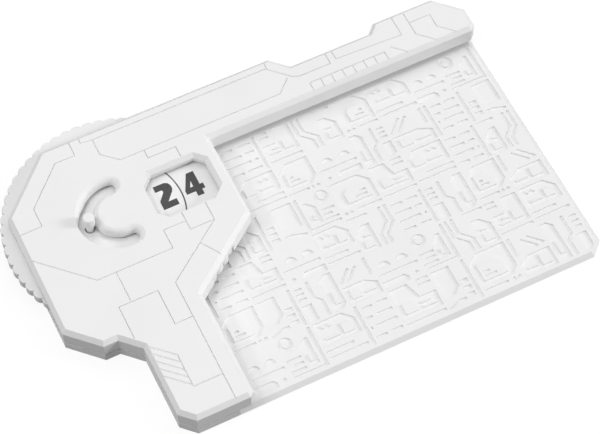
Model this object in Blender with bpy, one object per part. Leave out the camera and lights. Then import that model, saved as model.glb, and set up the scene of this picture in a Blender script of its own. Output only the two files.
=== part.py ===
"""Damage counter pad: a thin card pad with a housing that holds a two-digit dial counter.

Metres, +Z up.  The origin is on the dials' axle, on the pad's underside.
The front edge of the pad is at -Y, the rail of the housing is at the back, and
the housing's tower runs forward on the left, beside the card.
"""

import math

import bmesh
import bpy

# Heights above the table
PAD_THICKNESS = 0.0011
SEAM_HEIGHT = 0.00264
HOUSING_HEIGHT = 0.00777
EDGE_CHAMFER = 0.00105
WALL = 0.0016
ROOF = 0.0022
FIT_GAP = 0.0003
OVERRUN = 0.001
WELD_DISTANCE = 1e-7
JOIN_SHARE = 0.5

# Wheel for the units, which stands out of the housing
RIM_RADIUS = 0.02835
BUMP_COUNT = 60
BUMP_START = math.radians(-0.9)
BUMP_POINTS = 6
BUMP_DEPTH = 0.0009
RIM_EDGE_BREAK = 0.00025
RIM_WALL = 0.0029
WEB_SHARE = 0.485
RING_WALL = 0.0011
RING_ROOF = 0.0012
WHEEL_CLEARANCE = 0.0004
SLOT_END_ROOM = 0.0029
WHEEL_SLOT_START = math.radians(45)

# Outline of the housing from above, as distances from the axle
HOUSING_LEFT = 0.02444
HOUSING_BACK = 0.02378
BACK_LEFT_CUT = 0.01407
LEFT_SIDE_SETBACK = 0.00427
NECK_ROOM = 0.00293
NECK_LEFT = 0.0136
TOWER_LEFT = 0.00908
TOWER_FRONT = 0.05775
TOWER_FRONT_CUT = 0.00337
TOWER_RIGHT = 0.0088
TOWER_RIGHT_CUT = 0.0011
SHOULDER_FRONT = 0.02889
BULGE_RIGHT = 0.02814
BULGE_FRONT = 0.01415
RAIL_FRONT = 0.00912
RAIL_RIGHT = 0.10162
RAIL_FRONT_CUT = 0.0013
RAIL_END_BACK = 0.02195
RAIL_END_CUT = 0.00626
RAIL_WAIST_BACK = 0.01951
RAIL_WAIST_RIGHT = 0.0766
RAIL_WAIST_LEFT = 0.055

# Card pad, and the slot that takes the card's edges under the cover's lip
PAD_RIGHT = 0.10113
PAD_CORNER_CUT = 0.0033
LIP_OVERHANG = 0.004
RAIL_LIP_OVERHANG = 0.0035
BED_MARGIN = 0.001
BED_GROOVE_WIDTH = 0.0004
BED_GROOVE_DEPTH = 0.0002

# Axle and washers
AXLE_RADIUS = 0.0015
AXLE_FLOOR = 0.0005
AXLE_ROOF = 0.0006
AXLE_EDGE_BREAK = 0.0003
HUB_RADIUS = 0.0028
HUB_HEIGHT = 0.0003
WASHER_THICKNESS = 0.0003

# Tens dial, with the room over it for its brake, and its finger peg
TENS_RADIUS = 0.01605
TENS_CLEARANCE = 0.0004
DIAL_HEADROOM = 0.00072
PEG_CIRCLE = 0.00743
PEG_STEM_RADIUS = 0.001
PEG_HEAD_RADIUS = 0.00145
PEG_STANDOUT = 0.00255
PEG_TOP_ROUNDING = 0.0004
PEG_COLLAR_DROP = 0.0009
PEG_COLLAR_RISE = 0.0006
TENS_TRAVEL = math.radians(96)
SLOT_WIDTH = 0.00275
SLOT_FILLET = 0.0019
SLOT_FILLET_TURN = math.radians(75)
SLOT_SIDE_STEP = 0.00005
SLOT_SIDE_TUCK = 0.0003
STRAIGHT_SIDE = math.radians(225)
STRAIGHT_REACH = math.radians(45)
SLOT_END_PLAY = math.radians(4)

# Window over the two digits
WINDOW_LEFT = 0.00915
WINDOW_RIGHT = 0.02455
WINDOW_HALF_DEPTH = 0.00605
WINDOW_CUT = 0.00225
WINDOW_BACK_LEFT_CUT = 0.00283
WINDOW_CHAMFER = 0.001
WINDOW_SLOPE_LEFT = 0.01008
WINDOW_SIDE_STEP = 0.0002

# Click spring at the wheel's bumps
SPRING_STRIP = 0.0004
SPRING_EDGE_ROOM = 0.00075
SPRING_POST_RADIUS = 0.0009
SPRING_POST_LEFT = 0.0068
SPRING_POST_RIGHT = 0.0018
SPRING_POST_DROP = 0.0037
SPRING_NOSE_RADIUS = 0.0009
SPRING_CURL = math.radians(250)

# Brake spring under the roof, on the tens dial
BRAKE_STRIP = 0.0003
BRAKE_WIDTH = 0.0024
BRAKE_HALF_LENGTH = 0.0062
BRAKE_CIRCLE = 0.0134
BRAKE_PIN_RADIUS = 0.0004
BRAKE_PIN_INSET = 0.0011
BRAKE_POCKET = 0.0009

# Closing screws from below
SCREW_RADIUS = 0.0008
SCREW_HEAD_RADIUS = 0.0018
SCREW_HEAD_RECESS = 0.00015
SCREW_LENGTH = 0.0045
SCREW_TIP_RADIUS = 0.0002
SCREW_POST_RADIUS = 0.0023
SCREW_ROOM = 0.0026
TOWER_SCREW_INSET = 0.0052
RAIL_SCREW_OFFSET = 0.0078

# Counts of flat faces round the turned pieces
WHEEL_FACES = 120
DISC_FACES = 96
PIN_FACES = 32
SMALL_FACES = 20
FILLET_STEPS = 5
SLOT_ARC_STEPS = 30
SLOT_CAP_STEPS = 8
CURL_STEPS = 12
NOSE_STEPS = 6
BRAKE_STEPS = 12
SHARP_ANGLE = math.radians(35)

# Places in the outline that follow the wheel
LEFT_SIDE_FRONT = RIM_RADIUS - LEFT_SIDE_SETBACK
NECK_FRONT = RIM_RADIUS + NECK_ROOM

# Heights that follow from the sizes above
LIP_RIM_HEIGHT = SEAM_HEIGHT - FIT_GAP
ROOF_UNDERSIDE = HOUSING_HEIGHT - ROOF
HUB_TOP = PAD_THICKNESS + HUB_HEIGHT
LOWER_WASHER_BASE = HUB_TOP + FIT_GAP
WHEEL_UNDERSIDE = LOWER_WASHER_BASE + WASHER_THICKNESS + FIT_GAP
NUMBER_FACE = ROOF_UNDERSIDE - DIAL_HEADROOM
WHEEL_THICKNESS = NUMBER_FACE - WHEEL_UNDERSIDE
WASHER_ROOM = FIT_GAP + WASHER_THICKNESS + FIT_GAP
WEB_TOP = WHEEL_UNDERSIDE + (WHEEL_THICKNESS - WASHER_ROOM) * WEB_SHARE
MIDDLE_WASHER_BASE = WEB_TOP + FIT_GAP
TENS_UNDERSIDE = WEB_TOP + WASHER_ROOM
WHEEL_SLOT_TOP = NUMBER_FACE + WHEEL_CLEARANCE
SPRING_TOP = NUMBER_FACE - SPRING_EDGE_ROOM
AXLE_TOP = HOUSING_HEIGHT - AXLE_ROOF - FIT_GAP
DIAL_BORE = AXLE_RADIUS + FIT_GAP


def clear_scene():
    """Remove what a new file holds, so the part stands alone."""
    for item in list(bpy.data.objects):
        bpy.data.objects.remove(item, do_unlink=True)


def finish(name, colour, roughness, metallic=0.0):
    """A plain material in the colour that the piece is moulded or rolled in."""
    material = bpy.data.materials.new(name)
    material.use_nodes = True
    shader = material.node_tree.nodes["Principled BSDF"]
    shader.inputs["Base Color"].default_value = (*colour, 1.0)
    shader.inputs["Roughness"].default_value = roughness
    shader.inputs["Metallic"].default_value = metallic
    return material


def add_object(name, mesh_builder, material=None, smooth=False):
    """Turn a bmesh into a named object with outward faces."""
    bmesh.ops.remove_doubles(mesh_builder, verts=mesh_builder.verts, dist=WELD_DISTANCE)
    bmesh.ops.recalc_face_normals(mesh_builder, faces=mesh_builder.faces)
    mesh = bpy.data.meshes.new(name)
    mesh_builder.to_mesh(mesh)
    mesh_builder.free()
    if material:
        mesh.materials.append(material)
    if smooth:
        mesh.shade_smooth()
        mesh.set_sharp_from_angle(angle=SHARP_ANGLE)
    item = bpy.data.objects.new(name, mesh)
    bpy.context.collection.objects.link(item)
    return item


def helper(name, mesh_builder):
    """A body that only cuts or joins another: not a piece of the object."""
    item = add_object(name, mesh_builder)
    item.hide_render = True
    item.display_type = "WIRE"
    return item


def combine(piece, other, operation):
    """Cut or join a piece with a helper body."""
    modifier = piece.modifiers.new(other.name, "BOOLEAN")
    modifier.operation = operation
    modifier.solver = "EXACT"
    modifier.object = other


def cut(piece, name, mesh_builder):
    combine(piece, helper(name, mesh_builder), "DIFFERENCE")


def join(piece, name, mesh_builder):
    combine(piece, helper(name, mesh_builder), "UNION")


def inset_outline(points, distance):
    """Move every side of a counter-clockwise outline inward by one distance."""
    result = []
    count = len(points)
    for index in range(count):
        before = points[index - 1]
        here = points[index]
        after = points[(index + 1) % count]
        in_x, in_y = here[0] - before[0], here[1] - before[1]
        out_x, out_y = after[0] - here[0], after[1] - here[1]
        in_length = math.hypot(in_x, in_y)
        out_length = math.hypot(out_x, out_y)
        in_normal = (-in_y / in_length, in_x / in_length)
        out_normal = (-out_y / out_length, out_x / out_length)
        spread = 1.0 + in_normal[0] * out_normal[0] + in_normal[1] * out_normal[1]
        shift_x = distance * (in_normal[0] + out_normal[0]) / spread
        shift_y = distance * (in_normal[1] + out_normal[1]) / spread
        result.append((here[0] + shift_x, here[1] + shift_y))
    return result


def add_ring(mesh_builder, outline, height):
    return [mesh_builder.verts.new((x, y, height)) for x, y in outline]


def skin(mesh_builder, coarse, fine):
    """Close the band between two rings; the second may have several points for each of the first's."""
    count = len(coarse)
    share = len(fine) // count
    for index in range(count):
        here = coarse[index]
        following = coarse[(index + 1) % count]
        first = index * share
        if share == 1:
            mesh_builder.faces.new((here, following, fine[(index + 1) % count], fine[index]))
            continue
        middle = first + (share + 1) // 2
        for step in range(first, first + share):
            anchor = here if step < middle else following
            mesh_builder.faces.new((anchor, fine[(step + 1) % len(fine)], fine[step]))
        mesh_builder.faces.new((here, following, fine[middle % len(fine)]))


def add_loft(mesh_builder, levels):
    """Skin a closed body through outlines of equal length, from low to high."""
    rings = [add_ring(mesh_builder, outline, height) for outline, height in levels]
    for low, high in zip(rings, rings[1:]):
        skin(mesh_builder, low, high)
    mesh_builder.faces.new(list(reversed(rings[0])))
    mesh_builder.faces.new(rings[-1])


def ring_body(levels):
    """Skin a body with a bore: the last outline closes on the first."""
    mesh_builder = bmesh.new()
    rings = [add_ring(mesh_builder, outline, height) for outline, height in levels]
    for index in range(len(rings)):
        pair = sorted((rings[index - 1], rings[index]), key=len)
        skin(mesh_builder, pair[0], pair[1])
    return mesh_builder


def loft(levels):
    mesh_builder = bmesh.new()
    add_loft(mesh_builder, levels)
    return mesh_builder


def prism(outline, low, high):
    return loft([(outline, low), (outline, high)])


def circle(radius, count, centre=(0.0, 0.0), start=0.0):
    """Points round a circle, counter-clockwise."""
    points = []
    for index in range(count):
        angle = start + math.tau * index / count
        points.append((centre[0] + radius * math.cos(angle), centre[1] + radius * math.sin(angle)))
    return points


def turned(profile, count, centre=(0.0, 0.0)):
    """Turn a profile of radius and height pairs, bottom to top, into solid rings."""
    return loft([(circle(radius, count, centre), height) for radius, height in profile])


def bored(profile, count):
    """Turn a closed profile of radius and height pairs about the axle: a disc or ring."""
    return ring_body([(circle(radius, count), height) for radius, height in profile])


def posts(centres, levels, count):
    """Round posts or holes that share one profile, as one helper mesh."""
    mesh_builder = bmesh.new()
    for centre in centres:
        add_loft(mesh_builder, [(circle(radius, count, centre), height) for radius, height in levels])
    return mesh_builder


def strip_outline(path, thickness):
    """Outline of a strip of even thickness along an open path."""
    left = []
    right = []
    for index, point in enumerate(path):
        before = path[max(index - 1, 0)]
        after = path[min(index + 1, len(path) - 1)]
        step_x, step_y = after[0] - before[0], after[1] - before[1]
        length = math.hypot(step_x, step_y)
        offset_x = -step_y / length * thickness / 2
        offset_y = step_x / length * thickness / 2
        left.append((point[0] + offset_x, point[1] + offset_y))
        right.append((point[0] - offset_x, point[1] - offset_y))
    return right + list(reversed(left))


def arc(centre, radius, start, end, steps):
    """Points along an arc, from one angle to another."""
    points = []
    for index in range(steps + 1):
        angle = start + (end - start) * index / steps
        points.append((centre[0] + radius * math.cos(angle), centre[1] + radius * math.sin(angle)))
    return points


# Outlines that the base and the cover share


def left_sides():
    """Corners of the housing from its back left round to the tower's front, at 45 degrees."""
    return [
        (BACK_LEFT_CUT - HOUSING_LEFT, HOUSING_BACK),
        (-HOUSING_LEFT, HOUSING_BACK - BACK_LEFT_CUT),
        (-HOUSING_LEFT, -LEFT_SIDE_FRONT),
        (NECK_FRONT - LEFT_SIDE_FRONT - HOUSING_LEFT, -NECK_FRONT),
        (-NECK_LEFT, -NECK_FRONT),
        (-TOWER_LEFT, TOWER_LEFT - NECK_LEFT - NECK_FRONT),
        (-TOWER_LEFT, TOWER_FRONT_CUT - TOWER_FRONT),
        (TOWER_FRONT_CUT - TOWER_LEFT, -TOWER_FRONT),
    ]


def back_sides():
    """Corners of the rail from its right end to the name field over the dial."""
    waist_rise = RAIL_END_BACK - RAIL_WAIST_BACK
    return [
        (RAIL_RIGHT, RAIL_END_BACK - RAIL_END_CUT),
        (RAIL_RIGHT - RAIL_END_CUT, RAIL_END_BACK),
        (RAIL_WAIST_RIGHT + waist_rise, RAIL_END_BACK),
        (RAIL_WAIST_RIGHT, RAIL_WAIST_BACK),
        (RAIL_WAIST_LEFT, RAIL_WAIST_BACK),
        (RAIL_WAIST_LEFT - HOUSING_BACK + RAIL_WAIST_BACK, HOUSING_BACK),
    ]


def cover_outline():
    card_sides = [
        (TOWER_RIGHT - TOWER_RIGHT_CUT, -TOWER_FRONT),
        (TOWER_RIGHT, TOWER_RIGHT_CUT - TOWER_FRONT),
        (TOWER_RIGHT, -SHOULDER_FRONT),
        (BULGE_RIGHT, -BULGE_FRONT),
        (BULGE_RIGHT, RAIL_FRONT),
        (RAIL_RIGHT - RAIL_FRONT_CUT, RAIL_FRONT),
        (RAIL_RIGHT, RAIL_FRONT + RAIL_FRONT_CUT),
    ]
    return left_sides() + card_sides + back_sides()


def rim_outline():
    """The raised floor rim under the cover; its right and front sides stop the card."""
    stop_x = TOWER_RIGHT - LIP_OVERHANG
    stop_y = RAIL_FRONT + RAIL_LIP_OVERHANG
    card_stops = [(stop_x, -TOWER_FRONT), (stop_x, stop_y), (RAIL_RIGHT, stop_y)]
    return left_sides() + card_stops + back_sides()


def screw_centres():
    """Six places in the housing that are clear of the wheel and of the card."""
    tower_middle = (TOWER_RIGHT - LIP_OVERHANG - TOWER_LEFT) / 2
    rail_stop = RAIL_FRONT + RAIL_LIP_OVERHANG
    corner = RIM_RADIUS + SCREW_ROOM + WHEEL_CLEARANCE
    corner_angle = math.atan2(-LEFT_SIDE_FRONT - NECK_FRONT, -HOUSING_LEFT - NECK_LEFT)
    return [
        (corner * math.cos(corner_angle), corner * math.sin(corner_angle)),
        (tower_middle, TOWER_SCREW_INSET - TOWER_FRONT),
        (tower_middle, TOWER_LEFT - NECK_LEFT - NECK_FRONT - SCREW_ROOM),
        (BULGE_RIGHT + RAIL_SCREW_OFFSET, (rail_stop + HOUSING_BACK) / 2),
        ((RAIL_WAIST_LEFT + RAIL_WAIST_RIGHT) / 2, (rail_stop + RAIL_WAIST_BACK) / 2),
        (RAIL_RIGHT - RAIL_END_CUT - SCREW_ROOM, (rail_stop + RAIL_END_BACK) / 2),
    ]


def spring_post_centres():
    line = -RIM_RADIUS - SPRING_POST_DROP
    return [(-SPRING_POST_LEFT, line), (SPRING_POST_RIGHT, line)]


def brake_pin_centres():
    reach = BRAKE_HALF_LENGTH - BRAKE_PIN_INSET
    return [(-BRAKE_CIRCLE, -reach), (-BRAKE_CIRCLE, reach)]


# Base plate: the card pad and the floor of the housing


def bed_outline():
    """The open part of the pad, inside its sloped edges and the foot of the housing."""
    edge = PAD_RIGHT - PAD_THICKNESS
    front = PAD_THICKNESS - TOWER_FRONT
    return [
        (TOWER_RIGHT, front),
        (edge - PAD_CORNER_CUT, front),
        (edge, front + PAD_CORNER_CUT),
        (edge, RAIL_FRONT),
        (BULGE_RIGHT, RAIL_FRONT),
        (BULGE_RIGHT, -BULGE_FRONT),
        (TOWER_RIGHT, -SHOULDER_FRONT),
    ]


def bed_groove_cutter():
    """V-shaped groove that frames the field where the card lies."""
    rise = BED_GROOVE_DEPTH + OVERRUN
    flare = BED_GROOVE_WIDTH / 2 * rise / BED_GROOVE_DEPTH
    middle = BED_MARGIN + BED_GROOVE_WIDTH / 2
    open_bed = bed_outline()
    levels = [
        (inset_outline(open_bed, middle - flare), PAD_THICKNESS + OVERRUN),
        (inset_outline(open_bed, middle), PAD_THICKNESS - BED_GROOVE_DEPTH),
        (inset_outline(open_bed, middle + flare), PAD_THICKNESS + OVERRUN),
    ]
    return ring_body(levels)


def build_base_plate(material):
    rim = rim_outline()
    base = add_object("base_plate", prism(rim, 0.0, LIP_RIM_HEIGHT), material)
    pocket = inset_outline(rim, WALL)
    cut(base, "floor_pocket", prism(pocket, PAD_THICKNESS, LIP_RIM_HEIGHT + OVERRUN))

    wheel_room = RIM_RADIUS + WHEEL_CLEARANCE
    room_floor = WHEEL_UNDERSIDE - WHEEL_CLEARANCE
    cut(
        base,
        "wheel_room",
        prism(circle(wheel_room, WHEEL_FACES), room_floor, LIP_RIM_HEIGHT + OVERRUN),
    )

    # The pad reaches under the rim, so the two are one body
    tuck = WALL * JOIN_SHARE
    pad_left = TOWER_RIGHT - LIP_OVERHANG - tuck
    pad_back = RAIL_FRONT + RAIL_LIP_OVERHANG + tuck
    pad_low = [
        (pad_left, -TOWER_FRONT),
        (PAD_RIGHT - PAD_CORNER_CUT, -TOWER_FRONT),
        (PAD_RIGHT, PAD_CORNER_CUT - TOWER_FRONT),
        (PAD_RIGHT, pad_back),
        (pad_left, pad_back),
    ]
    slope = inset_outline(pad_low, PAD_THICKNESS)
    pad_high = [
        (pad_left, slope[0][1]),
        slope[1],
        slope[2],
        (slope[3][0], pad_back),
        (pad_left, pad_back),
    ]
    join(base, "card_pad", loft([(pad_low, 0.0), (pad_high, PAD_THICKNESS)]))
    cut(base, "bed_groove", bed_groove_cutter())

    root = PAD_THICKNESS * JOIN_SHARE
    join(base, "hub", prism(circle(HUB_RADIUS, PIN_FACES), root, HUB_TOP))
    levels = [(SCREW_POST_RADIUS, root), (SCREW_POST_RADIUS, LIP_RIM_HEIGHT)]
    join(base, "screw_bosses", posts(screw_centres(), levels, PIN_FACES))
    levels = [(SPRING_POST_RADIUS, root), (SPRING_POST_RADIUS, SPRING_TOP + FIT_GAP)]
    join(base, "spring_posts", posts(spring_post_centres(), levels, SMALL_FACES))

    axle_hole = circle(AXLE_RADIUS + FIT_GAP, PIN_FACES)
    cut(base, "axle_hole", prism(axle_hole, AXLE_FLOOR, HUB_TOP + OVERRUN))

    hole = SCREW_RADIUS + FIT_GAP
    sink = SCREW_HEAD_RADIUS + FIT_GAP
    slope_height = sink - hole
    levels = [
        (sink, -OVERRUN),
        (sink, SCREW_HEAD_RECESS),
        (hole, SCREW_HEAD_RECESS + slope_height),
        (hole, LIP_RIM_HEIGHT + OVERRUN),
    ]
    cut(base, "screw_sinks", posts(screw_centres(), levels, SMALL_FACES))
    return base


# Top cover: the moulded shell with window, C slot, wheel slot and screw posts


def straight_share(direction):
    """One for the sides at the front and left of an opening, none for those across from them."""
    turn = math.remainder(direction - STRAIGHT_SIDE, math.tau)
    return min(1.0, max(0.0, 2 - abs(turn) / STRAIGHT_REACH))


def slot_outline(half_width, side_room=0.0):
    """A C-shaped slot with round ends, open towards the window, and wider at its front left sides."""

    def reach_out(centre, direction):
        reach = half_width + side_room * straight_share(direction)
        return (centre[0] + reach * math.cos(direction), centre[1] + reach * math.sin(direction))

    stem_angle = PEG_STEM_RADIUS / PEG_CIRCLE
    reach = TENS_TRAVEL + SLOT_END_PLAY + stem_angle - SLOT_WIDTH / 2 / PEG_CIRCLE
    start = math.pi - reach
    middle = arc((0.0, 0.0), PEG_CIRCLE, start, math.pi + reach, SLOT_ARC_STEPS)
    turns = [start + 2 * reach * step / SLOT_ARC_STEPS for step in range(SLOT_ARC_STEPS + 1)]
    cap_turns = [math.pi * step / SLOT_CAP_STEPS for step in range(1, SLOT_CAP_STEPS)]
    outline = [reach_out(centre, turn) for centre, turn in zip(middle, turns)]
    outline += [reach_out(middle[-1], turns[-1] + turn) for turn in cap_turns]
    inner = [reach_out(centre, turn + math.pi) for centre, turn in zip(middle, turns)]
    outline += reversed(inner)
    outline += [reach_out(middle[0], start + math.pi + turn) for turn in cap_turns]
    return outline


def slot_cutter():
    """The slot's throat and the round edge that the finger runs along."""
    throat = SLOT_WIDTH / 2
    levels = [(slot_outline(throat), ROOF_UNDERSIDE - OVERRUN)]
    fillet_foot = HOUSING_HEIGHT - SLOT_FILLET * math.sin(SLOT_FILLET_TURN)
    widening = 0.0
    for step in range(FILLET_STEPS + 1):
        angle = SLOT_FILLET_TURN * step / FILLET_STEPS
        widening = SLOT_FILLET - SLOT_FILLET * math.cos(angle)
        levels.append((slot_outline(throat + widening), fillet_foot + SLOT_FILLET * math.sin(angle)))
    levels.append((slot_outline(throat + widening), HOUSING_HEIGHT + OVERRUN))
    return loft(levels)


def slot_side_cutter():
    """The slot's sides at the front and left run straight up to the top face."""
    throat = SLOT_WIDTH / 2
    widening = SLOT_FILLET - SLOT_FILLET * math.cos(SLOT_FILLET_TURN)
    room = SLOT_SIDE_TUCK + widening + SLOT_SIDE_STEP
    outline = slot_outline(throat - SLOT_SIDE_TUCK, room)
    return prism(outline, ROOF_UNDERSIDE - OVERRUN, HOUSING_HEIGHT + OVERRUN)


def window_cutter():
    """The window's opening: its left and front sides run straight up to the top face."""
    left = WINDOW_LEFT - WINDOW_CHAMFER
    front = -WINDOW_HALF_DEPTH - WINDOW_CHAMFER
    opening = [
        (left + WINDOW_CUT, front),
        (WINDOW_RIGHT - WINDOW_CUT, front),
        (WINDOW_RIGHT, front + WINDOW_CUT),
        (WINDOW_RIGHT, WINDOW_HALF_DEPTH - WINDOW_CUT),
        (WINDOW_RIGHT - WINDOW_CUT, WINDOW_HALF_DEPTH),
        (left + WINDOW_BACK_LEFT_CUT, WINDOW_HALF_DEPTH),
        (left, WINDOW_HALF_DEPTH - WINDOW_BACK_LEFT_CUT),
        (left, front + WINDOW_CUT),
    ]
    return prism(opening, ROOF_UNDERSIDE - OVERRUN, HOUSING_HEIGHT + OVERRUN)


def window_chamfer_cutter():
    """The slope along the window's back and right sides, square at its left end."""
    front = WINDOW_SIDE_STEP - WINDOW_HALF_DEPTH
    foot = [
        (WINDOW_SLOPE_LEFT, front),
        (WINDOW_RIGHT - WINDOW_CUT, front),
        (WINDOW_RIGHT, front + WINDOW_CUT),
        (WINDOW_RIGHT, WINDOW_HALF_DEPTH - WINDOW_CUT),
        (WINDOW_RIGHT - WINDOW_CUT, WINDOW_HALF_DEPTH),
        (WINDOW_SLOPE_LEFT, WINDOW_HALF_DEPTH),
    ]
    levels = []
    for rise in (-WINDOW_CHAMFER - OVERRUN, OVERRUN):
        outline = inset_outline(foot, -WINDOW_CHAMFER - rise)
        first = (WINDOW_SLOPE_LEFT, outline[0][1])
        last = (WINDOW_SLOPE_LEFT, outline[-1][1])
        levels.append(([first] + outline[1:-1] + [last], HOUSING_HEIGHT + rise))
    return loft(levels)


def brake_pocket_outline():
    half_width = BRAKE_WIDTH / 2 + FIT_GAP
    half_length = BRAKE_HALF_LENGTH + FIT_GAP
    return [
        (-BRAKE_CIRCLE - half_width, -half_length),
        (-BRAKE_CIRCLE + half_width, -half_length),
        (-BRAKE_CIRCLE + half_width, half_length),
        (-BRAKE_CIRCLE - half_width, half_length),
    ]


def build_top_cover(material):
    outline = cover_outline()
    shoulder = HOUSING_HEIGHT - EDGE_CHAMFER
    levels = [
        (outline, SEAM_HEIGHT),
        (outline, shoulder),
        (inset_outline(outline, EDGE_CHAMFER), HOUSING_HEIGHT),
    ]
    cover = add_object("top_cover", loft(levels), material)

    cavity = inset_outline(outline, WALL)
    cut(cover, "cavity", prism(cavity, SEAM_HEIGHT - OVERRUN, ROOF_UNDERSIDE))
    rim_room = circle(RIM_RADIUS + WHEEL_CLEARANCE, WHEEL_FACES)
    cut(cover, "rim_room", prism(rim_room, SEAM_HEIGHT - OVERRUN, WHEEL_SLOT_TOP))

    # Only on the back left half, where a finger turns the wheel, is there room round it
    reach = RIM_RADIUS + SLOT_END_ROOM
    slot_end = WHEEL_SLOT_START + math.pi
    finger_side = arc((0.0, 0.0), reach, WHEEL_SLOT_START, slot_end, SLOT_ARC_STEPS)
    cut(cover, "wheel_slot", prism(finger_side, SEAM_HEIGHT - OVERRUN, WHEEL_SLOT_TOP))

    post_root = ROOF_UNDERSIDE + ROOF * JOIN_SHARE
    levels = [(SCREW_POST_RADIUS, SEAM_HEIGHT), (SCREW_POST_RADIUS, post_root)]
    join(cover, "screw_posts", posts(screw_centres(), levels, PIN_FACES))

    hole = SCREW_RADIUS + FIT_GAP
    hole_top = SCREW_HEAD_RECESS + SCREW_LENGTH + FIT_GAP
    levels = [(hole, SEAM_HEIGHT - OVERRUN), (hole, hole_top)]
    cut(cover, "screw_holes", posts(screw_centres(), levels, SMALL_FACES))

    cut(cover, "window", window_cutter())
    cut(cover, "window_chamfer", window_chamfer_cutter())
    cut(cover, "peg_slot", slot_cutter())
    cut(cover, "slot_sides", slot_side_cutter())
    socket = circle(AXLE_RADIUS + FIT_GAP, PIN_FACES)
    cut(cover, "axle_socket", prism(socket, ROOF_UNDERSIDE - OVERRUN, AXLE_TOP + FIT_GAP))

    pocket_top = ROOF_UNDERSIDE + BRAKE_POCKET
    cut(cover, "brake_pocket", prism(brake_pocket_outline(), ROOF_UNDERSIDE - OVERRUN, pocket_top))
    pin_foot = pocket_top - FIT_GAP - BRAKE_STRIP - FIT_GAP
    levels = [(BRAKE_PIN_RADIUS, pin_foot), (BRAKE_PIN_RADIUS, pocket_top + FIT_GAP)]
    join(cover, "brake_pins", posts(brake_pin_centres(), levels, SMALL_FACES))
    return cover


# Dials


def bump_outline(shrink):
    """The wheel's rim: one round bump after another."""
    tip = RIM_RADIUS - shrink
    valley = RIM_RADIUS - BUMP_DEPTH - shrink
    points = []
    for bump in range(BUMP_COUNT):
        for step in range(BUMP_POINTS):
            across = step / BUMP_POINTS * 2 - 1
            swing = math.sin(across * math.pi / 2)
            radius = valley + (tip - valley) * math.sqrt(max(0.0, 1 - swing * swing))
            angle = BUMP_START + math.tau / BUMP_COUNT * (bump + swing / 2)
            points.append((radius * math.cos(angle), radius * math.sin(angle)))
    return points


def build_ones_dial(material):
    """Wheel with a bumped rim, a flat number ring and a recess for the tens dial."""

    def plain(radius):
        return circle(radius, BUMP_COUNT * 2, start=BUMP_START - math.pi / BUMP_COUNT)

    recess = TENS_RADIUS + TENS_CLEARANCE
    groove_inner = recess + RING_WALL
    groove_outer = RIM_RADIUS - BUMP_DEPTH - RIM_WALL
    groove_top = NUMBER_FACE - RING_ROOF
    levels = [
        (plain(DIAL_BORE), WHEEL_UNDERSIDE),
        (plain(DIAL_BORE), WEB_TOP),
        (plain(recess), WEB_TOP),
        (plain(recess), NUMBER_FACE),
        (bump_outline(RIM_EDGE_BREAK), NUMBER_FACE),
        (bump_outline(0.0), NUMBER_FACE - RIM_EDGE_BREAK),
        (bump_outline(0.0), WHEEL_UNDERSIDE + RIM_EDGE_BREAK),
        (bump_outline(RIM_EDGE_BREAK), WHEEL_UNDERSIDE),
        (plain(groove_outer), WHEEL_UNDERSIDE),
        (plain(groove_outer), groove_top),
        (plain(groove_inner), groove_top),
        (plain(groove_inner), WHEEL_UNDERSIDE),
    ]
    return add_object("ones_dial", ring_body(levels), material, smooth=True)


def build_tens_dial(material):
    """Flat disc that drops into the units dial's recess, with a hole for the peg."""
    profile = [
        (DIAL_BORE, TENS_UNDERSIDE),
        (TENS_RADIUS, TENS_UNDERSIDE),
        (TENS_RADIUS, NUMBER_FACE),
        (DIAL_BORE, NUMBER_FACE),
    ]
    dial = add_object("tens_dial", bored(profile, DISC_FACES), material, smooth=True)
    hole = circle(PEG_STEM_RADIUS + FIT_GAP, SMALL_FACES, (-PEG_CIRCLE, 0.0))
    cut(dial, "peg_hole", prism(hole, TENS_UNDERSIDE - OVERRUN, NUMBER_FACE + OVERRUN))
    return dial


def build_tens_peg(material):
    """Turned finger peg with a slim stem, so it passes the slot's throat."""
    top = HOUSING_HEIGHT + PEG_STANDOUT
    profile = [
        (PEG_STEM_RADIUS, TENS_UNDERSIDE),
        (PEG_STEM_RADIUS, HOUSING_HEIGHT - PEG_COLLAR_DROP),
        (PEG_HEAD_RADIUS, HOUSING_HEIGHT - PEG_COLLAR_DROP + PEG_COLLAR_RISE),
    ]
    for step in range(FILLET_STEPS + 1):
        angle = math.pi / 2 * step / FILLET_STEPS
        radius = PEG_HEAD_RADIUS - PEG_TOP_ROUNDING * (1 - math.cos(angle))
        profile.append((radius, top - PEG_TOP_ROUNDING * (1 - math.sin(angle))))
    peg = turned(profile, PIN_FACES, (-PEG_CIRCLE, 0.0))
    return add_object("tens_peg", peg, material, smooth=True)


# Axle, washers, springs and screws


def build_axle_pin(material):
    low = AXLE_FLOOR + FIT_GAP
    end_radius = AXLE_RADIUS - AXLE_EDGE_BREAK
    profile = [
        (end_radius, low),
        (AXLE_RADIUS, low + AXLE_EDGE_BREAK),
        (AXLE_RADIUS, AXLE_TOP - AXLE_EDGE_BREAK),
        (end_radius, AXLE_TOP),
    ]
    return add_object("axle_pin", turned(profile, PIN_FACES), material, smooth=True)


def build_washer(name, low, material):
    profile = [
        (DIAL_BORE, low),
        (HUB_RADIUS, low),
        (HUB_RADIUS, low + WASHER_THICKNESS),
        (DIAL_BORE, low + WASHER_THICKNESS),
    ]
    return add_object(name, bored(profile, PIN_FACES), material, smooth=True)


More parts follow.
